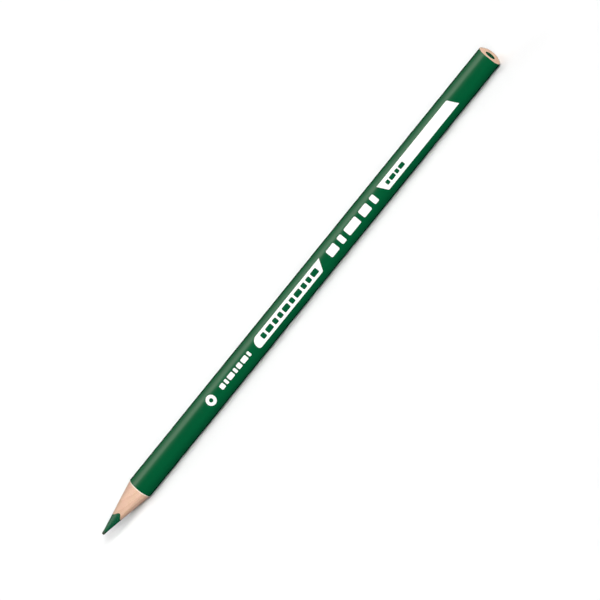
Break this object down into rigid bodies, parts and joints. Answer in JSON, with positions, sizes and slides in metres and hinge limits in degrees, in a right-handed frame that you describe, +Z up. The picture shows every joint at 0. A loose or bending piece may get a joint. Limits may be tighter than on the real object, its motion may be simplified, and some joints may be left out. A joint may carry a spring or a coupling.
{
  "type": "colour pencil",
  "caption": "Triangular wooden colour pencil with soft corners, glossy green lacquer, a sharpened green core and white bands and dashes on one side.",
  "frame": {"origin": "middle of the side that the pencil lies on: centre of the bounding box, at its bottom", "axes": "+X runs along the pencil from the point to the cut end, +Z is up, and the printed side faces -Y and up at 60 degrees from vertical"},
  "size_m": [0.175, 0.0072, 0.0069],
  "materials": {
    "core": "waxy green coloured core, satin where sharpened",
    "wood": "bare pinkish softwood, cut and sanded",
    "glue": "cured wood glue",
    "primer": "matt cream undercoat",
    "lacquer": "glossy green lacquer",
    "print": "satin white pad print"
  },
  "bodies": {
    "root": {"core": "core", "slat_upper": "wood", "slat_lower": "wood", "glue_film": "glue", "primer_coat": "primer", "lacquer_coat": "lacquer", "print_dot": "print", "print_small_dashes": "print", "print_title_band": "print", "print_large_dashes": "print", "print_name_panel": "print"}
  },
  "joints": []
}
